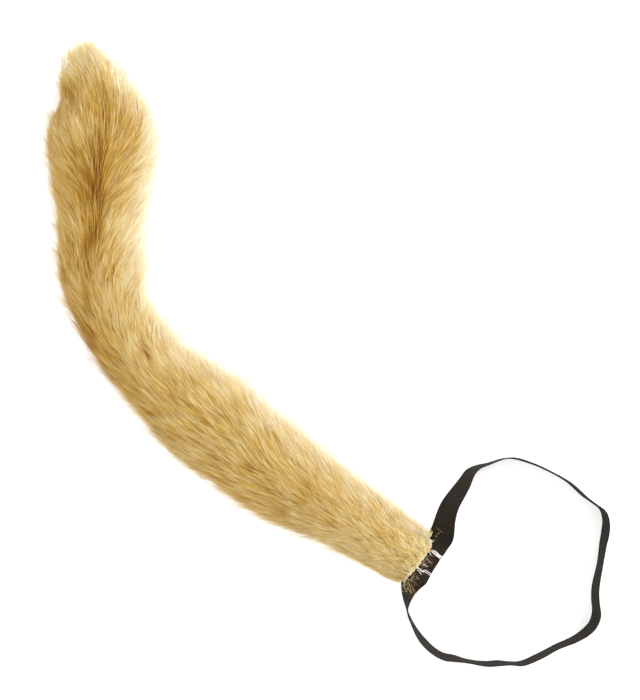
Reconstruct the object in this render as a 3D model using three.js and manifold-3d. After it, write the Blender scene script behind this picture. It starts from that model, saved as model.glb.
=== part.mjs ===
// A costume animal tail, lying on a flat surface: a stuffed tube of long-pile faux fur,
// sewn at its flattened end to a closed loop of black woven elastic that is worn round the waist.
// Millimetres, +Z up, with the surface it lies on at z = 0. Seen from above, +Y is up the page.
//
// The tail is one solid: a stuffed core, and the fur as locks fused to it. Its middle line is
// worked out from a table of headings, and its sections from shares of the fullest width.
// The elastic stands on its lower edge, leans into or out of the loop, and lies flat under the
// tail, where a tab of the fur's knitted backing is sewn down on it.

import * as THREE from "three";
import { mergeVertices } from "three/addons/utils/BufferGeometryUtils.js";
import Module from "manifold-3d";

// Driving sizes, in millimetres and degrees

const TAIL_LENGTH = 667; // along the middle line, from the sewn end to the tips of the last locks
const TAIL_WIDTH = 108; // across the fur where it is fullest
const ROOT_HEADING = 146.5; // the way the tail leaves its sewn end, counted from +X
const ROOT_THICKNESS = 15; // of the flattened, sewn end
const SQUASH = 3; // how much of the round core its own weight presses flat

const FUR_RISE = 12; // how far the locks stand off the stuffed core
const TIP_TUFT = 26; // how far the last locks reach past the end of the core
const LOCK_LENGTH = 54; // of a middling lock, along the tail
const LOCK_WIDTH = 22;
const LOCK_THICKNESS = 8;
const LOCK_SPACING = 31; // from one row of locks to the next
const LOCK_ROOT = 3; // how deep a lock starts under the skin of the core
const LOCK_OVERLAP = 0.82; // pitch of neighbouring locks in a row, a share of their width
const LOCK_UNEVEN = 0.36; // how much one lock's length differs from the next
const LOCK_SWING = 10; // degrees round the tail that a lock may wander on its way
const TUFT_LOCKS = [
  // Locks that close the round end: how many, how far back from it they start, how far in they lie.
  { count: 8, back: 24, sink: 9 },
  { count: 5, back: 14, sink: 17 },
];

const BAND_WIDTH = 25; // the usual inch-wide elastic
const BAND_THICKNESS = 1.2;
const BAND_UNDERLAP = 5; // how far the band runs in under the end of the tail
const LOOP_REACH = 96; // middling distance of the loop's lower edge from its centre
const JOIN_TURN = 177; // where on the loop, counted from +X round its centre, the tail is sewn

const TAB_WIDTH = 50;
const TAB_LENGTH = 16;
const TAB_THICKNESS = 1.8; // two layers of knitted backing, sewn flat
const TAB_SHOWS = 1.4; // how much of the tab looks out past the fur
const TAB_CORNER = 3;

const CLEARANCE = 0.3; // between pieces that touch on the real thing

// The tail from its sewn end to its tip.
// along: share of TAIL_LENGTH; heading: degrees turned since the sewn end;
// width: outer width of the fur, a share of TAIL_WIDTH; pile: share of FUR_RISE that the fur stands off;
// height: height of the core, a share of its width.
const TAIL_SECTIONS = [
  { along: 0.0, heading: 0, width: 0.56, pile: 0.3, height: 0.3 },
  { along: 0.05, heading: -0.5, width: 0.61, pile: 0.5, height: 0.56 },
  { along: 0.1, heading: 0.5, width: 0.68, pile: 0.8, height: 0.72 },
  { along: 0.16, heading: 1.5, width: 0.73, pile: 0.9, height: 0.8 },
  { along: 0.21, heading: 0.5, width: 0.83, pile: 1, height: 0.82 },
  { along: 0.27, heading: -2.5, width: 0.88, pile: 1, height: 0.82 },
  { along: 0.33, heading: -6.5, width: 0.88, pile: 1, height: 0.82 },
  { along: 0.38, heading: -5, width: 0.91, pile: 1, height: 0.82 },
  { along: 0.44, heading: -7, width: 0.79, pile: 0.9, height: 0.86 },
  { along: 0.49, heading: -14.5, width: 0.74, pile: 0.9, height: 0.88 },
  { along: 0.55, heading: -25.5, width: 0.74, pile: 0.9, height: 0.88 },
  { along: 0.6, heading: -38, width: 0.76, pile: 0.9, height: 0.88 },
  { along: 0.64, heading: -46.5, width: 0.85, pile: 1, height: 0.86 },
  { along: 0.69, heading: -52.5, width: 0.81, pile: 1, height: 0.86 },
  { along: 0.73, heading: -57, width: 0.82, pile: 1, height: 0.84 },
  { along: 0.78, heading: -59.5, width: 0.93, pile: 1, height: 0.8 },
  { along: 0.82, heading: -59, width: 1.0, pile: 1, height: 0.78 },
  { along: 0.87, heading: -55.5, width: 0.97, pile: 1, height: 0.76 },
  { along: 0.91, heading: -46.5, width: 0.78, pile: 1, height: 0.78 },
  { along: 0.955, heading: -37, width: 0.64, pile: 1, height: 0.8 },
  { along: 1.0, heading: -31, width: 0.34, pile: 1, height: 0.8 },
];

// The elastic's lower edge, once round the loop.
// turn: degrees from +X round the loop's centre; reach: distance from it, a share of LOOP_REACH;
// lean: 0 lies flat towards the centre, 90 stands on edge, and more leans out of the loop.
const BAND_FOLDS = [
  { turn: 0, reach: 0.935, lean: 89 },
  { turn: 12, reach: 0.98, lean: 92 },
  { turn: 18, reach: 1.027, lean: 94 },
  { turn: 24, reach: 1.082, lean: 93 },
  { turn: 30, reach: 1.104, lean: 92 },
  { turn: 36, reach: 1.068, lean: 91 },
  { turn: 42, reach: 1.037, lean: 92 },
  { turn: 54, reach: 1.037, lean: 92 },
  { turn: 66, reach: 1.037, lean: 92 },
  { turn: 78, reach: 1.055, lean: 94 },
  { turn: 90, reach: 1.08, lean: 96 },
  { turn: 102, reach: 1.05, lean: 93 },
  { turn: 108, reach: 1.058, lean: 87 },
  { turn: 114, reach: 1.052, lean: 75 },
  { turn: 120, reach: 1.004, lean: 67 },
  { turn: 126, reach: 0.97, lean: 61 },
  { turn: 138, reach: 0.93, lean: 50 },
  { turn: 150, reach: 0.883, lean: 37 },
  { turn: 156, reach: 0.872, lean: 20 },
  { turn: 161, reach: 0.882, lean: 0 },
  { turn: 170, reach: 0.934, lean: 0 },
  { turn: 178, reach: 1.003, lean: 0 },
  { turn: 186, reach: 1.108, lean: 0 },
  { turn: 190, reach: 1.162, lean: 5 },
  { turn: 193, reach: 1.176, lean: 34 },
  { turn: 197, reach: 1.182, lean: 64 },
  { turn: 203, reach: 1.178, lean: 86 },
  { turn: 210, reach: 1.172, lean: 92 },
  { turn: 222, reach: 1.172, lean: 99 },
  { turn: 234, reach: 1.163, lean: 94 },
  { turn: 240, reach: 1.12, lean: 91 },
  { turn: 246, reach: 1.103, lean: 85 },
  { turn: 258, reach: 1.058, lean: 87 },
  { turn: 264, reach: 1.032, lean: 87 },
  { turn: 270, reach: 1.038, lean: 83 },
  { turn: 276, reach: 1.043, lean: 85 },
  { turn: 288, reach: 1.003, lean: 87 },
  { turn: 300, reach: 0.991, lean: 86 },
  { turn: 312, reach: 1.032, lean: 89 },
  { turn: 318, reach: 1.048, lean: 92 },
  { turn: 324, reach: 1.052, lean: 94 },
  { turn: 330, reach: 1.017, lean: 97 },
  { turn: 336, reach: 0.955, lean: 96 },
  { turn: 342, reach: 0.92, lean: 94 },
  { turn: 348, reach: 0.91, lean: 92 },
];

// How finely the shapes are faceted

const CORE_RINGS = 34;
const END_RINGS = 5; // round the end of the core
const CORE_SIDES = 16;
const END_SWEEP = 85; // degrees of the end's quarter round, which closes on a small flat
const ROUTE_STEPS = 400;
const BAND_STATIONS = 150;
const FULL_TURN = 360;

const rad = THREE.MathUtils.degToRad;

// A smooth reading of a table: give it a place, and it answers with a row of the named columns.
function smoothTable(rows, place, columns) {
  const places = Float32Array.from(rows, (row) => row[place]);
  const values = Float32Array.from(rows.flatMap((row) => columns.map((column) => row[column])));
  const curve = new THREE.CubicInterpolant(places, values, columns.length);
  return (at) => {
    const read = curve.evaluate(at);
    return Object.fromEntries(columns.map((column, i) => [column, read[i]]));
  };
}

// A closed body through rings of points that run anticlockwise seen against the direction of travel.
// A ring that meets itself again makes a loop, and any other body gets a flat cap at each end.
function loft(rings, { closed = false } = {}) {
  const sides = rings[0].length;
  const index = [];
  const spans = closed ? rings.length : rings.length - 1;
  for (let i = 0; i < spans; i++) {
    const here = i * sides;
    const next = ((i + 1) % rings.length) * sides;
    for (let j = 0; j < sides; j++) {
      const k = (j + 1) % sides;
      index.push(here + j, here + k, next + k, here + j, next + k, next + j);
    }
  }
  const last = (rings.length - 1) * sides;
  for (let j = 1; !closed && j < sides - 1; j++) {
    index.push(0, j + 1, j, last, last + j, last + j + 1);
  }
  return new THREE.BufferGeometry().setFromPoints(rings.flat()).setIndex(index);
}

// Joining and cutting

const wasm = await Module();
wasm.setup();

function solidOf(geometry) {
  const bare = geometry.clone();
  bare.deleteAttribute("normal");
  bare.deleteAttribute("uv");
  const merged = mergeVertices(bare, 1e-4);
  return new wasm.Manifold(
    new wasm.Mesh({
      numProp: 3,
      vertProperties: merged.getAttribute("position").array,
      triVerts: new Uint32Array(merged.getIndex().array),
    }),
  );
}

function geometryOf(solid) {
  const mesh = solid.getMesh();
  const geometry = new THREE.BufferGeometry();
  geometry.setAttribute("position", new THREE.BufferAttribute(mesh.vertProperties, mesh.numProp));
  geometry.setIndex(new THREE.BufferAttribute(mesh.triVerts, 1));
  geometry.computeVertexNormals();
  return geometry;
}

// The tail's middle line, stepped out along its headings

const tailTable = smoothTable(TAIL_SECTIONS, "along", ["heading", "width", "pile", "height"]);

const route = [new THREE.Vector2(0, 0)];
for (let i = 0; i < ROUTE_STEPS; i++) {
  const heading = rad(ROOT_HEADING + tailTable((i + 0.5) / ROUTE_STEPS).heading);
  const step = new THREE.Vector2(Math.cos(heading), Math.sin(heading));
  route.push(route[i].clone().addScaledVector(step, TAIL_LENGTH / ROUTE_STEPS));
}

// The core's section at a distance from the sewn end, in millimetres.
function tailSection(distance) {
  const along = THREE.MathUtils.clamp(distance / TAIL_LENGTH, 0, 1);
  const row = tailTable(along);
  const at = along * ROUTE_STEPS;
  const i = Math.min(Math.floor(at), ROUTE_STEPS - 1);
  const middle = route[i].clone().lerp(route[i + 1], at - i);
  const heading = rad(ROOT_HEADING + row.heading);
  const rise = row.pile * FUR_RISE;
  const halfWidth = (row.width * TAIL_WIDTH) / 2 - rise;
  const halfHeight = Math.max(halfWidth * row.height, ROOT_THICKNESS / 2);
  const left = new THREE.Vector3(-Math.sin(heading), Math.cos(heading), 0);
  const centre = new THREE.Vector3(middle.x, middle.y, halfHeight - SQUASH);
  return { centre, left, rise, halfWidth, halfHeight };
}

// A point on the core, or standing off it, at an angle round its section: 0 is its left side, 90 its top.
function onTail(distance, angle, standOff, shrink = 1) {
  const { centre, left, halfWidth, halfHeight } = tailSection(distance);
  const across = (halfWidth * shrink + standOff) * Math.cos(rad(angle));
  const up = (halfHeight * shrink + standOff) * Math.sin(rad(angle));
  return centre.clone().addScaledVector(left, across).setZ(centre.z + up);
}

// The stuffed core, a flattened tube with a round end

function coreSolid() {
  const coreLength = TAIL_LENGTH - TIP_TUFT;
  const roundEnd = tailSection(coreLength).halfWidth;
  const straight = coreLength - roundEnd;
  const stations = [];
  for (let i = 0; i < CORE_RINGS; i++) {
    stations.push({ distance: (straight * i) / CORE_RINGS, shrink: 1 });
  }
  for (let i = 0; i < END_RINGS; i++) {
    const swept = rad((END_SWEEP * i) / (END_RINGS - 1));
    stations.push({ distance: straight + roundEnd * Math.sin(swept), shrink: Math.cos(swept) });
  }
  const rings = stations.map(({ distance, shrink }) => {
    const ring = [];
    for (let j = 0; j < CORE_SIDES; j++) {
      ring.push(onTail(distance, (j / CORE_SIDES) * FULL_TURN, 0, shrink));
    }
    return ring;
  });
  return solidOf(loft(rings));
}

// Locks of fur

// A repeatable number from 0 to 1 for each place, so that no two locks are quite alike.
function uneven(row, place, trait) {
  const wave = Math.sin(row * 12.9898 + place * 78.233 + trait * 37.719) * 43758.5453;
  return wave - Math.floor(wave);
}

const LOCKS_FROM = -28; // angle round the section where the locks begin, just under the tail's side
const LOCKS_TO = 208;
const FEWEST_LOCKS = 4;
const FIRST_ROW = 0.2; // distance of the first row from the sewn end, a share of the spacing
const STAGGER = [0.25, 0.75]; // where even and odd rows place their locks in a pitch
const ANGLE_JITTER = 0.3; // a share of the pitch
const START_JITTER = 0.5; // a share of the spacing

// One lock: a flat spike that leaves the core, bows outwards and lies along the tail.
function lockSolid(distance, angle, length, swing, sink = 0) {
  const { rise } = tailSection(distance);
  const path = [
    { share: 0, off: -LOCK_ROOT - sink, size: 0.9 },
    { share: 0.5, off: rise * 0.5 - sink, size: 1 },
    { share: 1, off: rise - sink, size: 0.12 },
  ];
  const middles = path.map(({ share, off }) =>
    onTail(distance + length * share, angle + swing * share, off),
  );
  const rings = path.map(({ share, off, size }, i) => {
    const outward = onTail(distance + length * share, angle + swing * share, off + 1)
      .sub(middles[i])
      .normalize();
    const before = middles[Math.max(i - 1, 0)];
    const after = middles[Math.min(i + 1, path.length - 1)];
    const forward = after.clone().sub(before).normalize();
    const side = outward.clone().cross(forward).normalize();
    const normal = forward.clone().cross(side);
    return [
      [LOCK_WIDTH / 2, 0],
      [0, LOCK_THICKNESS / 2],
      [-LOCK_WIDTH / 2, 0],
      [0, -LOCK_THICKNESS / 2],
    ].map(([across, up]) =>
      middles[i].clone().addScaledVector(side, across * size).addScaledVector(normal, up * size),
    );
  });
  return solidOf(loft(rings));
}

function lockSolids() {
  const locks = [];
  const rows = Math.floor((TAIL_LENGTH - TIP_TUFT) / LOCK_SPACING);
  for (let row = 0; row < rows; row++) {
    const start = (row + FIRST_ROW) * LOCK_SPACING;
    const { halfWidth, halfHeight } = tailSection(start);
    const girth = Math.PI * (halfWidth + halfHeight);
    const share = (LOCKS_TO - LOCKS_FROM) / FULL_TURN;
    const wanted = Math.round((girth * share) / (LOCK_WIDTH * LOCK_OVERLAP));
    const places = Math.max(FEWEST_LOCKS, wanted);
    const step = (LOCKS_TO - LOCKS_FROM) / places;
    for (let place = 0; place < places; place++) {
      const jitter = ANGLE_JITTER * (uneven(row, place, 1) - 0.5);
      const angle = LOCKS_FROM + (place + STAGGER[row % 2] + jitter) * step;
      const distance = start + LOCK_SPACING * START_JITTER * (uneven(row, place, 2) - 0.5);
      const full = LOCK_LENGTH * (1 + LOCK_UNEVEN * (uneven(row, place, 3) - 0.5));
      const length = Math.min(full, TAIL_LENGTH - distance);
      const swing = LOCK_SWING * (uneven(row, place, 4) - 0.5);
      locks.push(lockSolid(Math.max(distance, 1), angle, length, swing));
    }
  }
  for (const { count, back, sink } of TUFT_LOCKS) {
    const start = TAIL_LENGTH - TIP_TUFT - back;
    for (let place = 0; place < count; place++) {
      const angle = ((place + 0.5 * (count % 2)) / count) * FULL_TURN;
      const length = (back + TIP_TUFT) * (1 - 0.5 * LOCK_UNEVEN * uneven(start, place, 5));
      locks.push(lockSolid(start, angle, length, 0, sink));
    }
  }
  return locks;
}

// The elastic

const wholeTurns = [-FULL_TURN, 0, FULL_TURN].flatMap((more) =>
  BAND_FOLDS.map((row) => ({ ...row, turn: row.turn + more })),
);
const bandTable = smoothTable(wholeTurns, "turn", ["reach", "lean"]);

const awayFromLoop = (turn) => new THREE.Vector3(Math.cos(rad(turn)), Math.sin(rad(turn)), 0);

function lowerEdge(turn, centre) {
  return centre.clone().addScaledVector(awayFromLoop(turn), bandTable(turn).reach * LOOP_REACH);
}

// The loop's centre, from which its lower edge meets the underside of the tail at the join.
function loopCentre() {
  const heading = rad(ROOT_HEADING);
  const underTail = new THREE.Vector3(Math.cos(heading), Math.sin(heading), 0);
  return underTail.multiplyScalar(BAND_UNDERLAP).sub(lowerEdge(JOIN_TURN, new THREE.Vector3()));
}

// The four corners of the elastic's section, standing on the surface; spare widens it all round.
function bandSection(turn, centre, spare) {
  const NEARBY = 4; // degrees to each side, between which the edge's direction is taken
  const edge = lowerEdge(turn, centre);
  const along = lowerEdge(turn + NEARBY, centre).sub(lowerEdge(turn - NEARBY, centre)).normalize();
  const inward = new THREE.Vector3(-along.y, along.x, 0);
  const lean = rad(Math.max(bandTable(turn).lean, 0));
  const wide = inward.clone().multiplyScalar(Math.cos(lean)).setZ(Math.sin(lean));
  const thick = inward.clone().multiplyScalar(-Math.sin(lean)).setZ(Math.cos(lean));
  const lift = (BAND_THICKNESS / 2) * Math.abs(Math.cos(lean));
  const half = BAND_THICKNESS / 2 + spare;
  return [
    [-spare, -half],
    [BAND_WIDTH + spare, -half],
    [BAND_WIDTH + spare, half],
    [-spare, half],
  ].map(([across, up]) =>
    edge.clone().addScaledVector(wide, across).addScaledVector(thick, up).add({ x: 0, y: 0, z: lift }),
  );
}

function bandGeometry(spare = 0) {
  const centre = loopCentre();
  const rings = [];
  for (let i = 0; i < BAND_STATIONS; i++) {
    rings.push(bandSection((i / BAND_STATIONS) * FULL_TURN, centre, spare));
  }
  return loft(rings, { closed: true });
}

// The tab of backing, a slab with round corners that lies on the elastic

function tabGeometry(spare = 0) {
  const halfWidth = TAB_WIDTH / 2 + spare;
  const length = TAB_LENGTH + 2 * spare;
  const corner = TAB_CORNER + spare;
  const outline = new THREE.Shape()
    .moveTo(corner, -halfWidth)
    .lineTo(length, -halfWidth)
    .lineTo(length, halfWidth)
    .lineTo(corner, halfWidth)
    .absarc(corner, halfWidth - corner, corner, Math.PI / 2, Math.PI, false)
    .absarc(corner, corner - halfWidth, corner, Math.PI, 1.5 * Math.PI, false);
  const slab = new THREE.ExtrudeGeometry(outline, {
    depth: TAB_THICKNESS + 2 * spare,
    bevelEnabled: false,
    curveSegments: 4,
  });
  slab.translate(-TAB_SHOWS - spare, 0, BAND_THICKNESS + CLEARANCE - spare);
  return slab.rotateZ(rad(ROOT_HEADING));
}

// The tail, cut flat where it lies and cut clear of the elastic and the tab

function furGeometry() {
  const fused = wasm.Manifold.union([coreSolid(), ...lockSolids()]);
  const ROOM = 4 * TAIL_LENGTH; // cutting blocks larger than the whole tail
  const aboveSurface = new THREE.BoxGeometry(ROOM, ROOM, ROOM).translate(0, 0, ROOM / 2);
  const behindEnd = new THREE.BoxGeometry(ROOM, ROOM, ROOM)
    .translate(ROOM / 2, 0, 0)
    .rotateZ(rad(ROOT_HEADING));
  const clear = fused
    .intersect(solidOf(aboveSurface))
    .intersect(solidOf(behindEnd))
    .subtract(solidOf(bandGeometry(CLEARANCE)))
    .subtract(solidOf(tabGeometry(CLEARANCE)));
  // Crossing locks shut in small pockets of air, which the outer shell alone leaves out.
  const [body] = clear.decompose().sort((a, b) => b.volume() - a.volume());
  return geometryOf(body);
}

// Materials

const material = (color, roughness) =>
  new THREE.MeshStandardMaterial({ color, roughness, metalness: 0 });

const pieces = {
  fur_tail: [furGeometry(), material(0xd2aa68, 0.9)],
  backing_tab: [tabGeometry(), material(0xe6dcc6, 0.95)],
  waist_band: [bandGeometry(), material(0x2c2724, 0.8)],
};

const laid = new THREE.Group();
for (const [name, [geometry, finish]] of Object.entries(pieces)) {
  const mesh = new THREE.Mesh(geometry, finish);
  mesh.name = name;
  laid.add(mesh);
}

// The origin is on the surface, under the middle of the whole thing.
const middle = new THREE.Box3().setFromObject(laid).getCenter(new THREE.Vector3());
laid.position.set(-middle.x, -middle.y, 0);

const costumeTail = new THREE.Group();
costumeTail.add(laid);

export default costumeTail;
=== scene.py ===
# %% [markdown]
# # A costume animal tail
# The tail is a stuffed tube of long-pile faux fur, sewn at its flat end to a closed loop of black
# woven elastic. It lies on a white table, and the camera looks straight down on it.
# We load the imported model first, because it says where everything is. Its fur is a plain lumpy
# solid, so here we dress it: a skin, about a hundred and seventy thousand hairs, a ribbed elastic,
# the knitted edge of the fur's backing, and a few stitches of white thread.

# %% Load the model
import math

import bmesh
import bpy
import numpy as np
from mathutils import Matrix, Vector
from mathutils.kdtree import KDTree


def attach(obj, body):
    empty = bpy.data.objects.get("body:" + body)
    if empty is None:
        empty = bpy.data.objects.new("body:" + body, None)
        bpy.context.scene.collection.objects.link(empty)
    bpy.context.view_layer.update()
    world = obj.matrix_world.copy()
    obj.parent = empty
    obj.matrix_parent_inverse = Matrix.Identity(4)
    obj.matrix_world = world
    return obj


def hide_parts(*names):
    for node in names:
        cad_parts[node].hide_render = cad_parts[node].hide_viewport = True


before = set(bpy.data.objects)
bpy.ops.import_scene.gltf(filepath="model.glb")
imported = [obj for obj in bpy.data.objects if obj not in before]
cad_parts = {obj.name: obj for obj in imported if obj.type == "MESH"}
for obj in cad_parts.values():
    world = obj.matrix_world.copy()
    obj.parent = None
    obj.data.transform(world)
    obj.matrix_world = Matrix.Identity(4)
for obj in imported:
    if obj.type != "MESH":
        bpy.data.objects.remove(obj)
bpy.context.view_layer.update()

MM = 0.001
FULL_TURN = 2 * math.pi

# %% [markdown]
# ## Camera
# The photograph looks straight down, and we take its height as a little over a metre. A camera
# that isn't turned looks down, with +Y up the picture. The frame is 700 mm high on the table, so
# the lens follows from the camera's height.

# %% Camera
CAMERA_HEIGHT = 1200 * MM
FRAME_HEIGHT = 700 * MM
SENSOR_SIZE = 36
PHOTO_CENTRE = (-9.9 * MM, 1.64 * MM)

lens = bpy.data.cameras.new("camera")
lens.sensor_width = SENSOR_SIZE
lens.lens = SENSOR_SIZE * CAMERA_HEIGHT / FRAME_HEIGHT
lens.clip_start = 0.01
lens.clip_end = 50
camera = bpy.data.objects.new("camera", lens)
camera.location = (*PHOTO_CENTRE, CAMERA_HEIGHT)
bpy.context.collection.objects.link(camera)
bpy.context.scene.camera = camera
print("lens:", round(lens.lens, 1), "mm")

# %% [markdown]
# ## Reading a table smoothly
# The tail and the elastic were drawn from tables of a few rows. A smooth curve through the rows
# gives every place between them, and its slope at a row is the mean of the slopes to each side.

# %% Reading a table
def smooth_table(rows, at):
    """Every column of the table after the first, read at places in the first one."""
    x, y = rows[:, 0], rows[:, 1:]
    secant = np.diff(y, axis=0) / np.diff(x)[:, None]
    slope = np.vstack([secant[:1], (secant[1:] + secant[:-1]) / 2, secant[-1:]])
    at = np.clip(np.asarray(at, float), x[0], x[-1])
    i = np.clip(np.searchsorted(x, at, side="right") - 1, 0, len(x) - 2)
    span = (x[i + 1] - x[i])[..., None]
    t = (at - x[i])[..., None] / span
    return (
        (2 * t**3 - 3 * t**2 + 1) * y[i]
        + (t**3 - 2 * t**2 + t) * span * slope[i]
        + (3 * t**2 - 2 * t**3) * y[i + 1]
        + (t**3 - t**2) * span * slope[i + 1]
    )


def unit(v):
    return v / np.maximum(np.linalg.norm(v, axis=-1, keepdims=True), 1e-12)


# %% [markdown]
# ## The middle line of the tail
# These are the model's own numbers, in millimetres and degrees, so every hair stands on the same
# stuffed core that the solid has. A row says how far along we are, how much the tail has turned,
# how wide it is, how far its fur stands off and how high its core is.

# %% The tail's table and middle line
TAIL_LENGTH = 667
TAIL_WIDTH = 108
ROOT_HEADING = 146.5
ROOT_THICKNESS = 15
SQUASH = 3
FUR_RISE = 12
TIP_TUFT = 26
FRAME_SHIFT = np.array([86.5963, -208.0590, 0.0])
ROUTE_STEPS = 400

TAIL_SECTIONS = np.array([
    # along, heading, width, pile, height
    [0.0, 0, 0.56, 0.3, 0.3],
    [0.05, -0.5, 0.61, 0.5, 0.56],
    [0.1, 0.5, 0.68, 0.8, 0.72],
    [0.16, 1.5, 0.73, 0.9, 0.8],
    [0.21, 0.5, 0.83, 1, 0.82],
    [0.27, -2.5, 0.88, 1, 0.82],
    [0.33, -6.5, 0.88, 1, 0.82],
    [0.38, -5, 0.91, 1, 0.82],
    [0.44, -7, 0.79, 0.9, 0.86],
    [0.49, -14.5, 0.74, 0.9, 0.88],
    [0.55, -25.5, 0.74, 0.9, 0.88],
    [0.6, -38, 0.76, 0.9, 0.88],
    [0.64, -46.5, 0.85, 1, 0.86],
    [0.69, -52.5, 0.81, 1, 0.86],
    [0.73, -57, 0.82, 1, 0.84],
    [0.78, -59.5, 0.93, 1, 0.8],
    [0.82, -59, 1.0, 1, 0.78],
    [0.87, -55.5, 0.97, 1, 0.76],
    [0.91, -46.5, 0.78, 1, 0.78],
    [0.955, -37, 0.64, 1, 0.8],
    [1.0, -31, 0.34, 1, 0.8],
])

# The sewn end isn't cut square: how far its edge reaches out, from its right corner to its left.
SEWN_EDGE = np.array([
    # across, out
    [-36, -9.0], [-33, -5.0], [-27, 0.6], [-19, 4.4], [-10, 4.8], [-2, 4.7], [5, 4.3], [15, 2.2],
    [24, 0.5], [30, 0.2],
])

middles = (np.arange(ROUTE_STEPS) + 0.5) / ROUTE_STEPS
turned = np.radians(ROOT_HEADING + smooth_table(TAIL_SECTIONS, middles)[:, 0])
steps = np.stack([np.cos(turned), np.sin(turned)], axis=-1) * TAIL_LENGTH / ROUTE_STEPS
route = np.vstack([[0, 0], np.cumsum(steps, axis=0)])
core_end = TAIL_LENGTH - TIP_TUFT


def tail_at(distance):
    """At distances from the sewn end: middle, forward, left, rise, half width and half height."""
    distance = np.asarray(distance, float)
    row = smooth_table(TAIL_SECTIONS, distance / TAIL_LENGTH)
    at = np.clip(distance / TAIL_LENGTH, 0, 1) * ROUTE_STEPS
    i = np.minimum(at.astype(int), ROUTE_STEPS - 1)
    middle = route[i] + (route[i + 1] - route[i]) * (at - i)[..., None]
    heading = np.radians(ROOT_HEADING + row[..., 0])
    forward = np.stack([np.cos(heading), np.sin(heading)], axis=-1)
    beyond = distance - np.clip(distance, 0, TAIL_LENGTH)
    middle = middle + forward * beyond[..., None]
    left = np.stack([-forward[..., 1], forward[..., 0]], axis=-1)
    rise = row[..., 2] * FUR_RISE
    half_width = row[..., 1] * TAIL_WIDTH / 2 - rise
    half_height = np.maximum(half_width * row[..., 3], ROOT_THICKNESS / 2)
    return middle, forward, left, rise, half_width, half_height


round_end = float(tail_at(core_end)[4])
straight_end = core_end - round_end


def dome(distance):
    """How far the core has drawn in at its round end: 1 along the tube, 0 at the very end."""
    into = np.clip((np.asarray(distance, float) - straight_end) / round_end, 0, 1)
    return np.sqrt(1 - into**2)


def on_tail(distance, angle, off, shrink=1.0):
    """Points off the core, in millimetres. Angle 0 is its left side, 90 its top, 180 its right."""
    middle, _, left, _, half_width, half_height = tail_at(distance)
    across = (half_width * shrink + off) * np.cos(np.radians(angle))
    up = (half_height * shrink + off) * np.sin(np.radians(angle))
    flat = middle + left * across[..., None]
    return np.concatenate([flat, (half_height - SQUASH + up)[..., None]], axis=-1) + FRAME_SHIFT


print("middle line ends at", (route[-1] + FRAME_SHIFT[:2]).round(1), "mm")

# %% [markdown]
# ## Finishes
# Every finish is made of nodes. A small helper wires a Principled shader and hands back the tree,
# so that each finish below only says what is its own.

# %% A helper for finishes
def colour(red, green, blue):
    """A colour as a painter reads it off a screen, from 0 to 255, made linear for the shader."""
    made = []
    for value in (red, green, blue):
        c = value / 255
        made.append(c / 12.92 if c <= 0.04045 else ((c + 0.055) / 1.055) ** 2.4)
    return (*made, 1.0)


class Finish:
    """A material with its Principled shader, and short ways to add nodes and wires."""

    def __init__(self, name, roughness, specular=0.5):
        self.material = bpy.data.materials.new(name)
        self.material.use_nodes = True
        self.nodes = self.material.node_tree.nodes
        self.links = self.material.node_tree.links
        self.shader = self.nodes["Principled BSDF"]
        self.shader.inputs["Roughness"].default_value = roughness
        self.shader.inputs["Specular IOR Level"].default_value = specular

    def node(self, kind, wires=None, **settings):
        made = self.nodes.new("ShaderNode" + kind)
        for key, value in settings.items():
            setattr(made, key, value)
        for socket, source in (wires or {}).items():
            if isinstance(source, bpy.types.NodeSocket):
                self.links.new(source, made.inputs[socket])
            else:
                made.inputs[socket].default_value = source
        return made

    def ramp(self, factor, stops):
        made = self.node("ValToRGB", {"Fac": factor})
        elements = made.color_ramp.elements
        while len(elements) < len(stops):
            elements.new(0.5)
        for element, (place, value) in zip(elements, stops):
            element.position = place
            element.color = value
        return made.outputs["Color"]

    def mix(self, factor, first, second, blend="MIX"):
        made = self.node("Mix", data_type="RGBA", blend_type=blend)
        for socket, source in ((0, factor), (6, first), (7, second)):
            if isinstance(source, bpy.types.NodeSocket):
                self.links.new(source, made.inputs[socket])
            else:
                made.inputs[socket].default_value = source
        return made.outputs[2]

    def paint(self, source):
        self.links.new(source, self.shader.inputs["Base Color"])

    def bump(self, height, strength, distance):
        made = self.node("Bump", {"Height": height, "Strength": strength, "Distance": distance})
        self.links.new(made.outputs["Normal"], self.shader.inputs["Normal"])


def place_piece(name, mesh, finish):
    """Puts a finished mesh in the scene as a piece that rides with the whole part."""
    mesh.materials.clear()
    mesh.materials.append(finish.material)
    piece = bpy.data.objects.new(name, mesh)
    bpy.context.collection.objects.link(piece)
    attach(piece, "root")
    return piece


# %% [markdown]
# ## Skin of the stuffed tube
# Under its pile the tail is a tube of knitted backing, stuffed softly. It could be carved from the
# solid, but a flat grid wrapped round the core follows the same table more exactly, and later the
# hairs stand on it. It sits a little inside the core, so that only hair shows.

# %% A grid wrapped into a tube
def wrapped_grid(lengthwise, round_about, place, name):
    """A grid whose first way becomes the length of a tube and whose second closes round it."""
    bm = bmesh.new()
    bmesh.ops.create_grid(
        bm, x_segments=lengthwise, y_segments=round_about, size=0.5, calc_uvs=True
    )
    flat = np.array([v.co[:2] for v in bm.verts]) + 0.5
    for vertex, point in zip(bm.verts, place(flat[:, 0], flat[:, 1])):
        vertex.co = point * MM
    bmesh.ops.remove_doubles(bm, verts=bm.verts, dist=0.002 * MM)
    rim = [edge for edge in bm.edges if edge.is_boundary]
    if rim:
        bmesh.ops.holes_fill(bm, edges=rim, sides=0)
    bmesh.ops.recalc_face_normals(bm, faces=bm.faces)
    for face in bm.faces:
        face.smooth = True
    mesh = bpy.data.meshes.new(name)
    bm.to_mesh(mesh)
    bm.free()
    return mesh


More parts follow.
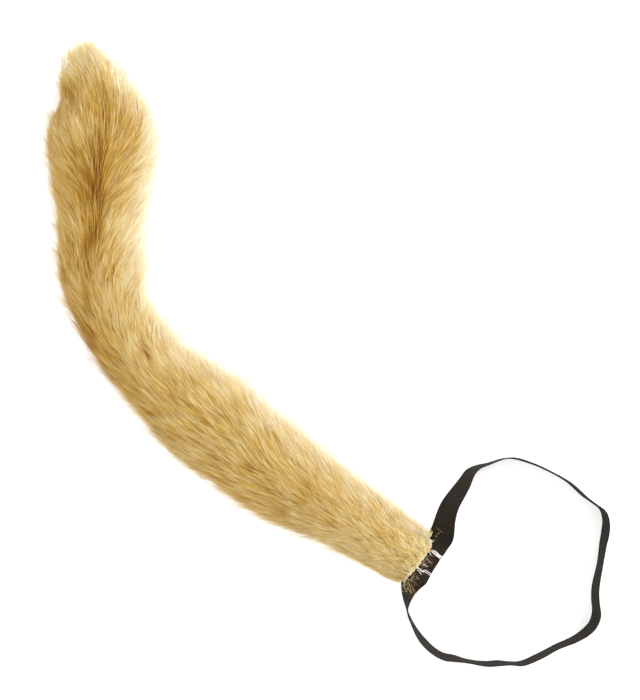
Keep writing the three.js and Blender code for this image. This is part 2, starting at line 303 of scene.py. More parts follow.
SKIN_DEPTH = 2.5
SKIN_CLEARANCE = 0.4  # off the table
TUBE_SHARE, END_SHARE = 0.9, 0.1  # of the grid, for the tube and for its round end
END_SWEEP = math.radians(88)
SLIM_FROM, SLIM_LENGTH, SLIMMING = 540, 80, 0.45  # the skin draws in towards the thin tip


def skin_place(lengthwise, round_about):
    in_end = lengthwise > TUBE_SHARE
    sweep = np.clip((lengthwise - TUBE_SHARE) / END_SHARE, 0, 1) * END_SWEEP
    tube = np.clip(lengthwise / TUBE_SHARE, 0, 1) * straight_end
    distance = tube + np.where(in_end, round_end * np.sin(sweep), 0)
    shrink = np.where(in_end, np.cos(sweep), 1.0)
    shrink = shrink * (1 - SLIMMING * np.clip((distance - SLIM_FROM) / SLIM_LENGTH, 0, 1))
    points = on_tail(np.maximum(distance, 1.0), round_about * 360, -SKIN_DEPTH * shrink, shrink)
    points[:, 2] = np.maximum(points[:, 2], SKIN_CLEARANCE)
    return points


backing_fur = Finish("undercoat", roughness=0.9, specular=0.1)
where = backing_fur.node("TexCoord").outputs["Object"]
fluff = backing_fur.node("TexNoise", {"Vector": where, "Scale": 220, "Detail": 3})
backing_fur.paint(backing_fur.ramp(fluff.outputs["Fac"], [
    (0.35, colour(156, 114, 52)),
    (0.65, colour(200, 160, 92)),
]))
backing_fur.bump(fluff.outputs["Fac"], 0.6, 1 * MM)

skin = place_piece("fur_skin", wrapped_grid(160, 48, skin_place, "fur_skin"), backing_fur)
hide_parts("fur_tail")
print("skin:", len(skin.data.polygons), "faces")

# %% [markdown]
# ## How the fur is combed
# Faux fur keeps a nap: it lies from the sewn end to the tip, opens outwards to both sides like a
# feather, and in the upper half it parts along the middle. So each hair gets its direction from
# where its root is, and smooth unevenness turns whole tufts a little, as handling does.

# %% Directions of the fur
PARTING = np.array([
    # along, angle off the left side, how strongly the fur parts
    [300, 62, 0.0], [370, 65, 0.35], [410, 70, 0.6], [440, 80, 0.85], [465, 91, 0.95],
    [500, 92, 1.0], [525, 94, 0.85], [545, 98, 0.5], [570, 100, 0.3], [595, 96, 0.1],
    [640, 92, 0.0],
])
WAVES = 7
WAVES_TOGETHER = 3.2  # what brings the sum of the waves to about -1 to 1


def rising(value, low, high):
    """0 below low, 1 above high, smooth between."""
    share = np.clip((value - low) / (high - low), 0, 1)
    return share * share * (3 - 2 * share)


def hump(value, middle, reach):
    """1 at the middle, fading to nothing over about twice the reach on either side."""
    return np.exp(-(((value - middle) / reach) ** 2))


def ripple(x, y, size, seed):
    """Smooth unevenness of about -1 to 1 over a surface, in patches about as large as size."""
    waves = np.random.default_rng(seed)
    total = np.zeros(np.broadcast(x, y).shape)
    for _ in range(WAVES):
        turn = waves.uniform(0, FULL_TURN)
        reach = size * waves.uniform(0.7, 1.7)
        begin = waves.uniform(0, FULL_TURN)
        total += np.sin((x * np.cos(turn) + y * np.sin(turn)) * FULL_TURN / reach + begin)
    return total / WAVES_TOGETHER


def parting(distance):
    """How strongly the fur parts along the top there, from 0 to 1."""
    return smooth_table(PARTING, distance)[..., 1]


def parting_angle(distance):
    wander = 3 * np.sin(distance / 8.0 + 1) + 2 * np.sin(distance / 3.7)
    return smooth_table(PARTING, distance)[..., 0] + wander


def combed(distance, angle):
    """Degrees by which the fur turns off the tail's direction, positive towards its right side."""
    parts = parting(distance)
    strength = 12 + 13 * parts
    sharpness = 42 - 30 * parts
    turn = strength * np.tanh((angle - parting_angle(distance)) / sharpness)
    turn = turn + 8 * rising(angle, 110, 170)
    return turn + 5 * ripple(distance, angle * 0.6, 50, 11)


both_sides = combed(np.array([500.0, 500.0]), np.array([60.0, 120.0]))
print("combed at the parting's sides:", both_sides.round(1))

# %% [markdown]
# ## Tufts, strands and hairs
# Real pile isn't spread evenly. Hairs cling together in strands, and strands in tufts, whose tips
# draw together to points. So we sow tufts over the skin, strands in each tuft, and hairs in each
# strand, and let each level keep close to the one above it towards the tip.
# About a hundred and seventy thousand hairs would take too long as single objects, so all their
# points are worked out together as arrays. Each hair is a thin leaf of three segments that ends
# in a point.

# %% Sowing the tufts
PILE_FROM, PILE_TO = -24, 204  # angles between which the tube has pile
END_FROM, END_TO = -60, 240  # and its round end
CLOSE_ROWS = np.arange(1, 42, 4.4)  # at the sewn end, where the pile is short
ROWS_FROM = 46
ROW_STEP = 6.6
TUFT_STEP = 6.2
CUT_REACH = 24  # how far from the sewn end its slanted edge still moves the rows
STRANDS = 19
HAIRS = 5

chance = np.random.default_rng(20)


def sow_tufts():
    """Distances and angles of the tufts' roots, row after row."""
    found = []
    for distance in [*CLOSE_ROWS, *np.arange(ROWS_FROM, core_end, ROW_STEP)]:
        _, _, _, _, half_width, half_height = tail_at(distance)
        shrink = float(dome(distance))
        girth = math.pi * (half_width + half_height) * max(shrink, 0.15)
        places = max(3, round(girth * (PILE_TO - PILE_FROM) / 360 / TUFT_STEP))
        if distance > straight_end:
            places = max(4, round(girth / TUFT_STEP))
        wander = chance.uniform(-0.5, 0.5, (places, 2))
        spread = (np.arange(places) + 0.5 + wander[:, 0] * 0.9) / places
        low, high = (PILE_FROM, PILE_TO) if distance <= straight_end else (END_FROM, END_TO)
        angles = low + spread * (high - low)
        across = np.cos(np.radians(angles)) * half_width
        out = smooth_table(SEWN_EDGE, across)[:, 0] * np.clip(1 - distance / CUT_REACH, 0, 1)
        along = distance + wander[:, 1] * ROW_STEP * 0.95 - out
        found.append(np.stack([along, angles], axis=-1))
    return np.vstack(found)


tufts = sow_tufts()
print(len(tufts), "tufts,", len(tufts) * STRANDS * HAIRS, "hairs")

# %% [markdown]
# ## Where each hair grows
# Every hair needs to know its tuft and its strand, and how near it is to the tail's left side, its
# right side, its tip and the parting. One small class works that out for all hairs of some tufts,
# so that the steps after it can share it. Near the parting a hair's tip stays on its own side.

# %% Where each hair grows
ALONG = np.array([0.0, 0.34, 0.68, 1.0])
GUARD_SHARE = 0.1  # longer, thinner hairs among the others
TUFT_ROOT, TUFT_END = 6.5, 5.2  # radius of a tuft at its roots and at its tips
STRAND_ROOT, STRAND_END = 0.65, 0.4
PARTING_HOLDS = 16  # degrees from the parting over which a tip keeps to its side
TIP_KEEPS_OFF = 2.5  # how far off the parting it stays, in millimetres


def disc(count, radius):
    """Random offsets inside a circle."""
    reach = radius * np.sqrt(chance.uniform(0, 1, count))
    turn = chance.uniform(0, FULL_TURN, count)
    return np.stack([reach * np.cos(turn), reach * np.sin(turn)], axis=-1)


class Growth:
    """Where the hairs of some tufts grow, and which tuft and strand each of them is of."""

    def __init__(self, tuft_rows):
        self.tufts = len(tuft_rows)
        self.strands = self.tufts * STRANDS
        self.total = self.strands * HAIRS
        self.of_tuft = np.repeat(np.arange(self.tufts), STRANDS * HAIRS)
        self.of_strand = np.repeat(np.arange(self.strands), HAIRS)
        self.guard = chance.uniform(0, 1, self.total) < GUARD_SHARE
        self.distance, self.angle = tuft_rows[self.of_tuft].T
        self.to_left = rising(self.angle, 40, 5)
        self.to_right = rising(self.angle, 125, 170)
        self.to_tip = rising(self.distance, 570, 635)
        _, _, _, self.rise, self.half_width, half_height = tail_at(self.distance)
        self.shrink = np.maximum(dome(self.distance), 0.25)
        self.radius = np.maximum((self.half_width + half_height) / 2 * self.shrink, 7)
        self.patch = ripple(self.distance, self.angle * 0.6, 30, 5)
        self.spread_out()

    def spread_out(self):
        """Spreads the roots over the tuft, and draws the tips together."""
        self.root_off = disc(self.strands, TUFT_ROOT)[self.of_strand]
        self.root_off = self.root_off + disc(self.total, STRAND_ROOT)
        self.tip_off = disc(self.strands, TUFT_END)[self.of_strand]
        self.tip_off = self.tip_off + disc(self.total, STRAND_END)
        self.tip_off = self.tip_off * (1 - 0.45 * self.to_left)[:, None]
        self.root_angle = self.angle + np.degrees(self.root_off[:, 1] / self.radius)
        self.root_distance = self.distance + self.root_off[:, 0]
        self.off_parting = self.root_angle - parting_angle(self.root_distance)
        held = parting(self.root_distance) * hump(self.off_parting, 0, PARTING_HOLDS)
        stays = self.root_off[:, 1] + TIP_KEEPS_OFF * np.sign(self.off_parting)
        self.tip_off[:, 1] += held * (stays - self.tip_off[:, 1])


# %% [markdown]
# ## The shape of each hair
# A hair leaves its root, bows over and lies along the nap. Its length, lift and turn vary from
# tuft to tuft, less from strand to strand, and least from hair to hair. At the sides and the tip
# some hairs stand up as wisps, and one flank in the bend is pressed flat.

# %% Length, lift and turn
PILE_LENGTH = 36


def hair_lengths(grown):
    short = np.clip(0.44 + grown.distance / 110, 0.4, 1)
    long = PILE_LENGTH * short * (1 + 0.1 * grown.patch)
    long = long * chance.uniform(0.75, 1.2, grown.tufts)[grown.of_tuft]
    long = long * chance.uniform(0.8, 1.15, grown.strands)[grown.of_strand]
    long = long * chance.uniform(0.75, 1.06, grown.total) * np.where(grown.guard, 1.22, 1)
    return long * (1 - grown.to_tip * chance.uniform(-0.1, 0.5, grown.total))


def hair_lifts(grown):
    """How far each hair's tip stands off the core, and which hairs are wisps."""
    near_join = np.exp(-np.maximum(grown.distance, 0) / 110)
    lift = grown.rise * (0.74 + 0.1 * grown.patch) + 4 * grown.to_right * near_join
    lift = lift + 5 * grown.to_tip * rising(grown.angle, 100, 25)
    left_tufts = grown.to_left[::STRANDS * HAIRS]
    of_tufts = chance.uniform(0.78, 1.06, grown.tufts)
    of_tufts = of_tufts + left_tufts * chance.uniform(-0.3, 0.5, grown.tufts)
    lift = lift * of_tufts[grown.of_tuft]
    lift = lift * chance.uniform(0.5, 1.14, grown.strands)[grown.of_strand]
    lift = lift * chance.uniform(0.8, 1.12, grown.total) * np.where(grown.guard, 1.35, 1)
    lift = lift * (1 + grown.to_right * chance.uniform(-0.75, 0.15, grown.total))
    lift = np.minimum(lift, grown.rise * 1.5 + 2)

    wispy = np.maximum(0.4 * rising(grown.angle, 108, 160), 0.36 * rising(grown.angle, 50, 10))
    wispy = np.maximum(wispy, 0.6 * grown.to_tip)
    wisp = chance.uniform(0, 1, grown.total) < wispy
    standing = grown.rise * (0.5 - 0.15 * grown.to_left) + chance.exponential(6.5, grown.total)
    standing = np.minimum(standing, grown.rise * (1.9 - 0.75 * grown.to_left))
    lift = np.where(wisp, standing, lift)
    pressed = 0.6 * rising(grown.angle, 118, 158) * hump(grown.distance, 380, 32)
    return lift * (1 - pressed), wisp


def hair_turns(grown):
    """Radians by which each hair turns off the tail's direction."""
    turn = combed(grown.root_distance, grown.root_angle)
    turn = turn + chance.normal(0, 3.5, grown.tufts)[grown.of_tuft]
    turn = turn + chance.normal(0, 3.2, grown.strands)[grown.of_strand]
    turn = turn + chance.normal(0, 1.6, grown.total)
    return np.radians(turn + np.where(grown.guard, chance.normal(0, 6, grown.total), 0))


# %% Points of each hair
ROOT_DEPTH = 1.5
BOW = 1.7  # 1 would be straight, and more bows over sooner
EDGE_KEPT = 3.0  # no hair reaches back over the sewn edge by more


def hair_points(grown, long, lift, turn):
    across = np.cos(np.radians(grown.angle)) * (grown.half_width + 3)
    cut_edge = EDGE_KEPT - smooth_table(SEWN_EDGE, across)[:, 0]
    points = []
    for t in ALONG:
        gather = t**0.8
        offset = grown.root_off * (1 - gather) + grown.tip_off * gather
        ahead = long * t * np.cos(turn) + offset[:, 0]
        aside = long * t * np.sin(turn) + offset[:, 1]
        off = -ROOT_DEPTH + (lift + ROOT_DEPTH) * (1 - (1 - t) ** BOW)
        distance = np.maximum(grown.distance + ahead, cut_edge)
        angle = grown.angle + np.degrees(aside / grown.radius)
        points.append(on_tail(distance, angle, off, grown.shrink))
    points = np.stack(points, axis=1)
    over_table = 0.5 + chance.uniform(0, 2.5, grown.total)[:, None] * ALONG
    points[:, :, 2] = np.maximum(points[:, :, 2], over_table)
    return points


# %% [markdown]
# ## Light and dark places
# The coat is paler along its right side, which faces the light, and on its lower side near the sewn
# end:
# that paleness is painted light. It is paler at its tip, and darker along the top of its upper
# half.
# Painted shade darkens the left flank of the bend, which faces away from the light, the parting,
# and spots near the tip where tufts part. A table lists those places, each with what it adds to the
# tone there. Then every tuft, strand and hair gets a tone of its own; some are much darker, as
# painted shade of the gaps between strands, and some lighter, as painted highlights.

# %% Light and dark places
def everywhere(value):
    return 1.0


TONE_AND_PAINTED_LIGHT = [
    # how much paler, the shape round the tail, and the shapes along it
    (-0.14, (hump, 85, 35), (rising, 370, 470), (rising, 550, 510)),
    # painted shade: the left flank in the bend, facing away from the light, is darker
    (-0.36, (rising, 75, 30), (hump, 352, 62)),
    (0.11, (hump, 102, 24), (rising, 240, 320), (rising, 480, 445)),
    (0.08, (rising, 25, 45), (hump, 446, 16)),
    # painted light: near the sewn end its lower, left side is made paler than the shade there
    (0.07, (rising, 85, 45), (rising, 160, 90)),
    (0.08, (rising, 32, 12), (rising, 350, 300)),
    # painted shade: dark spots near the tip, where tufts part and show the shade between them
    (-0.16, (hump, 105, 16), (hump, 572, 24)),
    (-0.22, (hump, 120, 14), (hump, 530, 18)),
    (-0.16, (hump, 40, 30), (hump, 580, 20)),
    (-0.3, (hump, 26, 20), (hump, 597, 13)),
    (-0.25, (hump, 62, 12), (hump, 586, 12)),
    (-0.25, (hump, 130, 10), (hump, 553, 12)),
    (0.12, (everywhere,), (rising, 600, 630)),
    (0.1, (hump, 66, 16), (hump, 540, 24)),
    # painted light: the right side, which faces the light, is paler, by amounts that change along
    # it
    (0.32, (rising, 98, 152)),
    (0.16, (rising, 98, 152), (rising, 260, 340)),
    (-0.02, (rising, 98, 152), (rising, 420, 480)),
    # painted light on the lower, left side near the sewn end
    (0.2, (rising, 70, 30), (rising, 100, 40)),
    # painted light on the right side of the tip
    (0.26, (rising, 80, 125), (rising, 575, 635)),
    # painted light near the sewn end, from its lower side over the top
    (0.16, (rising, 150, 95), (rising, 140, 40)),
    (0.12, (rising, 55, 85), (rising, 555, 600)),
    (0.3, (everywhere,), (rising, 606, 638)),
]
MIDDLING = 0.54
PARTING_SHADE = 0.38
PAINTED_GAP_SHADE = 0.36


def place_tones(distance, angle):
    """The tone of the coat by place alone, painted light and shade included."""
    tone = MIDDLING + 0.05 * ripple(distance, angle * 0.6, 60, 3)
    tone = tone + 0.04 * ripple(distance, angle * 0.6, 17, 4)
    for amount, (shape, *numbers), *along in TONE_AND_PAINTED_LIGHT:
        spot = amount * shape(angle, *numbers)
        for shape, *numbers in along:
            spot = spot * shape(distance, *numbers)
        tone = tone + spot
    return tone


def own_tones(count, middle, spread, dark_below, light_above, lighter):
    """A tone for each of some strands or hairs; a few are much darker, as painted shade of the gaps
    between strands, and a few lighter, as painted highlights.
    """
    kind = chance.uniform(0, 1, count)
    tone = chance.normal(middle, spread, count)
    return tone - PAINTED_GAP_SHADE * (kind < dark_below) + lighter * (kind > light_above)


def hair_tones(grown, wisp):
    """How pale each hair is, from 0 to 1, alike within a strand and less so within a tuft."""
    tone = place_tones(grown.distance, grown.angle)
    tone = tone + chance.normal(0, 0.035, grown.tufts)[grown.of_tuft]
    strand = own_tones(grown.strands, 0.02, 0.15, 0.18, 0.84, 0.15)
    tone = tone + own_tones(grown.total, 0.01, 0.14, 0.08, 0.92, 0.16)
    tone = tone + strand[grown.of_strand] + 0.1 * grown.guard
    # painted light and shade: wisps are paler on the lit right side and darker on the shaded left
    tone = tone + wisp * (0.06 * grown.to_right - 0.06 * grown.to_left)
    in_parting = parting(grown.root_distance) * hump(grown.off_parting, 0, 6.5)
    tone = tone - PARTING_SHADE * in_parting
    # only on the lit right side, where paleness is painted light, and at the tip may hairs reach
    # the palest tones
    lit_side_and_tip = np.maximum(rising(grown.angle, 98, 150), rising(grown.distance, 585, 630))
    return np.clip(tone, 0.02, 0.76 + 0.22 * lit_side_and_tip)


# %% [markdown]
# ## Thin places, and light at the roots
# Few hairs are left right on the parting, and the worn end has lost many. Where no fur lies over
# the roots, at the sewn end, on the lit side and at the tip, a leaf starts some way up its map,
# because its root is in the light.

# %% Hairs that are left, and all of them together
HAIR_WIDTH = 0.285
PARTING_HALF_WIDTH = 3.5  # degrees


def still_there(grown):
    on_parting = np.abs(grown.off_parting) < PARTING_HALF_WIDTH
    bare = 0.6 * on_parting * parting(grown.root_distance)
    thin_end = rising(grown.root_distance, 545, 590) * rising(grown.root_angle, 98, 126)
    bare = np.maximum(bare, 0.945 * thin_end)
    bare = np.maximum(bare, 0.55 * rising(grown.root_distance, 600, 640))
    return chance.uniform(0, 1, grown.total) > bare


def light_at_roots(grown):
    at_join = 0.75 * np.exp(-np.maximum(grown.distance, 0) / 14)
    on_right = (0.3 + 0.3 * rising(grown.distance, 240, 340)) * grown.to_right
    return np.maximum(np.maximum(at_join, on_right), 0.5 * grown.to_tip)


def hair_paths(tuft_rows):
    """The points of every hair of these tufts, the way out of the coat, tone, width and light."""
    grown = Growth(tuft_rows)
    long = hair_lengths(grown)
    lift, wisp = hair_lifts(grown)
    points = hair_points(grown, long * np.where(wisp, 1.15, 1), lift, hair_turns(grown))
    foot = on_tail(grown.distance, grown.angle, 0.0, grown.shrink)
    outward = on_tail(grown.distance, grown.angle, 1.0, grown.shrink) - foot
    tone = hair_tones(grown, wisp)
    width = HAIR_WIDTH * chance.uniform(0.7, 1.25, grown.total) * np.where(grown.guard, 0.7, 1)
    width = width * (1 - 0.2 * grown.to_right) * np.where(wisp, 0.5, 1)
    kept = still_there(grown)
    lit = light_at_roots(grown)
    return points[kept], unit(outward)[kept], tone[kept], width[kept], lit[kept]


# %% [markdown]
# ## From paths to leaves
# A leaf faces outwards, with some spread, so that hairs don't vanish edge-on from above or from
# the side. Its shading normals lean to the way the body faces there: that is what makes thousands
# of thin leaves catch the light like one soft coat. The leaf's own map holds its tone across and
# the way from root to tip upwards, and the finish paints from that map.

# %% Leaves
FACING_OUT, FACING_UP, FACING_SPREAD = 0.75, 0.45, 0.42
SHADE_SPREAD = 0.25
TONE_ACROSS = 0.006  # keeps a leaf's map from being a line


def straight_up(count):
    return np.tile([0.0, 0.0, 1.0], (count, 1))


def leaves(name, points, outward, tone, width, lit, finish, slot):
    """One mesh of hairs that follow paths of a few points each and end in a point."""
    count, stops = points.shape[:2]
    rings = stops - 1
    forward = unit(np.gradient(points, axis=1))
    facing = outward * FACING_OUT + np.array([0, 0, FACING_UP])
    facing = facing + chance.normal(0, FACING_SPREAD, (count, 3))
    side = unit(np.cross(forward, facing[:, None, :]))
    swell = 0.75 + 0.25 * np.sin(np.linspace(0.3, 2.6, rings))
    half = 0.5 * width[:, None, None] * swell[None, :, None]
    left = points[:, :rings] - side[:, :rings] * half
    right = points[:, :rings] + side[:, :rings] * half
    corners = np.stack([left, right], axis=2).reshape(count, 2 * rings, 3)
    corners = np.concatenate([corners, points[:, rings:]], axis=1) * MM
    size = 2 * rings + 1

    steps = [[2 * i, 2 * i + 1, 2 * i + 3, 2 * i + 2] for i in range(rings - 1)]
    ring = np.array(sum(steps, []) + [size - 3, size - 2, size - 1])
    loops = (np.arange(count)[:, None] * size + ring).reshape(-1)
    totals = np.tile([4] * (rings - 1) + [3], count)
    starts = np.concatenate([[0], np.cumsum(totals)[:-1]])

    mesh = bpy.data.meshes.new(name)
    mesh.vertices.add(count * size)
    mesh.vertices.foreach_set("co", corners.reshape(-1).astype(np.float32))
    mesh.loops.add(len(loops))
    mesh.loops.foreach_set("vertex_index", loops.astype(np.int32))
    mesh.polygons.add(len(totals))
    mesh.polygons.foreach_set("loop_start", starts.astype(np.int32))
    mesh.polygons.foreach_set("loop_total", totals.astype(np.int32))
    mesh.polygons.foreach_set("use_smooth", np.ones(len(totals), bool))

    across = np.array([-1, 1] * rings + [0]) * TONE_ACROSS
    along = np.repeat(np.linspace(0, 1, stops), 2)[:size]
    u = np.clip(tone[:, None] + across, 0, 1)
    v = lit[:, None] + (1 - lit[:, None]) * along
    spots = np.stack([u, v], axis=-1).reshape(-1, 2)[loops]
    layer = mesh.uv_layers.new(name="OFBake")
    layer.data.foreach_set("uv", spots.reshape(-1).astype(np.float32))
    mesh.update()
    mesh.validate()

    bent = outward + chance.normal(0, SHADE_SPREAD, (count, 3))
    normals = unit(np.repeat(bent[:, None, :], size, axis=1))
    mesh.normals_split_custom_set_from_vertices(normals.reshape(-1, 3))
    return place_piece(name, mesh, finish)


# %% [markdown]
# ## Finish of the pile
# Each fibre is darker and browner at its root, where the coat is in its own shade, golden along
# its length and creamy at its tip. The map gives both ways: tone from fibre to fibre across, and
# root to tip upwards.

# %% Pile finish
pile_finish = Finish("pile", roughness=0.5, specular=0.18)
pile_finish.shader.inputs["Sheen Weight"].default_value = 0.1
pile_finish.shader.inputs["Sheen Roughness"].default_value = 0.4
pile_finish.shader.inputs["Sheen Tint"].default_value = colour(255, 226, 165)
# painted glow: a faint warm emission stands in for light scattered through the fur, keeping its
# shade golden
pile_finish.shader.inputs["Emission Color"].default_value = colour(206, 158, 60)
pile_finish.shader.inputs["Emission Strength"].default_value = 0.12
spot = pile_finish.node("UVMap", uv_map="OFBake").outputs["UV"]
parts = pile_finish.node("SeparateXYZ", {"Vector": spot})
tone_colour = pile_finish.ramp(parts.outputs["X"], [
    (0.0, colour(136, 88, 22)),
    (0.3, colour(194, 150, 50)),
    (0.55, colour(222, 193, 100)),
    # among the pile's hairs, the two palest stops are reached only at the tip and on the right
    # side, where they are painted light
    (0.8, colour(233, 223, 177)),
    (1.0, colour(247, 244, 231)),
])
depth = pile_finish.ramp(parts.outputs["Y"], [
    (0.0, colour(134, 88, 32)),
    (0.35, colour(216, 182, 118)),
    (0.72, colour(255, 255, 255)),
])
pile_finish.paint(pile_finish.mix(1.0, tone_colour, depth, "MULTIPLY"))

# %% Growing the pile
PILE_NAMES = [
    "fur_pile_root", "fur_pile_lower", "fur_pile_bend", "fur_pile_upper", "fur_pile_tip",
]
tufts = tufts[np.argsort(tufts[:, 0])]
for name, rows in zip(PILE_NAMES, np.array_split(tufts, len(PILE_NAMES))):
    paths = hair_paths(rows)
    leaves(name, *paths, pile_finish, "fur")
    print(name, len(paths[0]), "hairs")

# %% [markdown]
# ## Wisps that stand off the coat
# Wear pulls some tufts out of the nap: pale ones at the worn tip, pointed ones along the tail's
# left side. Each is a bundle of hairs from one spot to another, wide at its root and drawn
# together at its end, so a short table of spots places them all.

# %% Wisps
WISPS = np.array([
    # root x and y, end x and y, height off the table, spread, how pale
    [-261, 284, -264, 305, 22, 4.6, 0.9], [-255, 286, -259, 307, 25, 4.4, 0.85],
    [-249, 288, -250, 309, 27, 4.2, 0.85], [-242, 286, -243, 305, 27, 4.2, 0.8],
    [-234, 284, -237, 302, 26, 4.2, 0.85], [-226, 280, -226, 298, 24, 4.0, 0.8],
    [-262, 270, -266, 292, 20, 4.2, 0.75], [-262, 254, -267, 277, 18, 4.0, 0.55],
    [-218, 272, -216, 290, 24, 3.6, 0.85], [-212, 266, -208, 287, 22, 1.8, 0.8],
    [-205, 258, -199, 282, 20, 1.8, 0.9], [-197, 250, -192, 269, 20, 2.4, 0.95],
    [-264, 224, -283, 238, 19, 4.2, 0.6], [-266, 184, -286, 198, 19, 4.2, 0.6],
    [-258, 112, -280, 132, 21, 4.0, 0.6], [-258, 88, -280, 108, 21, 4.0, 0.6],
    [-254, 62, -274, 79, 21, 4.0, 0.6], [-252, 42, -272, 58, 21, 4.0, 0.6],
    [-238, 14, -259, 33, 21, 4.2, 0.62], [-166, -82, -186, -66, 21, 4.2, 0.7],
    [-148, -104, -168, -88, 21, 4.2, 0.7], [-124, -122, -144, -107, 21, 4.2, 0.7],
])
HAIRS_IN_WISP = 40
WISP_WIDTH = 0.17
WISP_ROOT, WISP_END = 1.4, 0.75  # how wide a wisp is there, a share of its spread


def wisp_paths(spots):
    """Four points of each hair of the wisps, and how pale each is."""
    row = np.repeat(spots, HAIRS_IN_WISP, axis=0)
    total = len(row)
    span = row[:, 2:4] - row[:, 0:2]
    root_off = disc(total, 1.0) * row[:, 5:6] * WISP_ROOT
    end_off = disc(total, 1.0) * row[:, 5:6] * WISP_END
    reach = chance.uniform(0.2, 1.1, (total, 1))
    bow = chance.normal(0, 1.6, (total, 1))
    way = unit(span)
    aside = np.stack([-way[:, 1], way[:, 0]], axis=-1)
    points = []
    for t in ALONG:
        flat = row[:, 0:2] + span * reach * t + root_off * (1 - t) + end_off * t
        flat = flat + aside * bow * math.sin(t * math.pi)
        height = row[:, 4] + chance.normal(0, 0.4, total) + 2.5 * root_off[:, 0] * (1 - t)
        points.append(np.concatenate([flat, height[:, None]], axis=-1))
    tone = np.clip(row[:, 6] + chance.normal(0, 0.12, total), 0.02, 0.98)
    return np.stack(points, axis=1), tone


wisp_points, wisp_tone = wisp_paths(WISPS)
total = len(wisp_tone)
leaves(
    "standing_wisps", wisp_points, straight_up(total), wisp_tone,
    WISP_WIDTH * chance.uniform(0.6, 1.4, total), np.full(total, 0.5), pile_finish, "fur",
)
print("wisps:", len(WISPS), "of", HAIRS_IN_WISP, "hairs")

# %% [markdown]
# ## The elastic
# The loop is ordinary inch-wide woven elastic, black, with ribs along its length where the rubber
# cores lie. It stands on its edge, leans in and out, and lies flat under the tail. One section of
# it could be extruded round the loop, but a grid that is wrapped to the same table keeps its map
# straight along the weave, so the weave follows every fold.

# %% The elastic's table
BAND_WIDTH = 25
BAND_THICKNESS = 1.2
BAND_UNDERLAP = 5
LOOP_REACH = 96
JOIN_TURN = 177
NEARBY = 4

BAND_FOLDS = np.array([
    # turn, reach, lean
    [0, 0.935, 89], [12, 0.98, 92], [18, 1.027, 94], [24, 1.082, 93], [30, 1.104, 92],
    [36, 1.068, 91], [42, 1.037, 92], [54, 1.037, 92], [66, 1.037, 92], [78, 1.055, 94],
    [90, 1.08, 96], [102, 1.05, 93], [108, 1.058, 87], [114, 1.052, 75], [120, 1.004, 67],
    [126, 0.97, 61], [138, 0.93, 50], [150, 0.883, 37], [156, 0.872, 20], [161, 0.882, 0],
    [170, 0.934, 0], [178, 1.003, 0], [186, 1.088, 15], [190, 1.124, 35], [193, 1.138, 49],
    [197, 1.148, 68], [203, 1.155, 89], [210, 1.166, 93], [222, 1.172, 99], [234, 1.163, 94],
    [240, 1.12, 91], [246, 1.103, 85], [258, 1.058, 87], [264, 1.032, 87], [270, 1.038, 83],
    [276, 1.043, 85], [288, 1.003, 87], [300, 0.991, 86], [312, 1.032, 89], [318, 1.048, 92],
    [324, 1.052, 94], [330, 1.017, 97], [336, 0.955, 96], [342, 0.92, 94], [348, 0.91, 92],
])
three_turns = np.vstack([BAND_FOLDS + [more, 0, 0] for more in (-360, 0, 360)])


def lower_edge(turn, centre):
    reach = smooth_table(three_turns, turn)[..., 0] * LOOP_REACH
    away = np.stack([np.cos(np.radians(turn)), np.sin(np.radians(turn))], axis=-1)
    return centre + away * reach[..., None]


tail_way = np.array([math.cos(math.radians(ROOT_HEADING)), math.sin(math.radians(ROOT_HEADING))])
loop_centre = tail_way * BAND_UNDERLAP - lower_edge(np.array(float(JOIN_TURN)), np.zeros(2))


def on_band(turn, across, up):
    """Points of the elastic: across from its lower edge, up off its middle, in millimetres."""
    edge = lower_edge(turn, loop_centre)
    along = unit(lower_edge(turn + NEARBY, loop_centre) - lower_edge(turn - NEARBY, loop_centre))
    inward = np.stack([-along[..., 1], along[..., 0]], axis=-1)
    lean = np.radians(np.maximum(smooth_table(three_turns, turn)[..., 1], 0))
    lift = BAND_THICKNESS / 2 * np.abs(np.cos(lean))
    flat = edge + inward * (np.cos(lean) * across - np.sin(lean) * up)[..., None]
    height = np.sin(lean) * across + np.cos(lean) * up + lift
    return np.concatenate([flat, height[..., None]], axis=-1) + FRAME_SHIFT


print("loop centre:", (loop_centre + FRAME_SHIFT[:2]).round(1), "mm")

# %% The ribbed elastic
RIBS = 12
RIB_DEPTH = 0.22
BAND_ROUND = 104
BAND_STATIONS = 420


def band_section(share):
    """Across and up, once round the section of the elastic: up its face, and back behind."""
    face = share < 0.5
    run = np.where(face, share, 1 - share) * 2
    across = run * BAND_WIDTH
    rib = RIB_DEPTH * (0.5 - 0.5 * np.cos(run * RIBS * FULL_TURN))
    edge = np.clip(np.minimum(run, 1 - run) * BAND_WIDTH / 0.6, 0, 1)
    up = (BAND_THICKNESS / 2 - RIB_DEPTH + rib) * np.sqrt(1 - (1 - edge) ** 2)
    return across, np.where(face, -up, up)


def band_place(lengthwise, round_about):
    across, up = band_section(round_about)
    return on_band(lengthwise * 360, across, up)


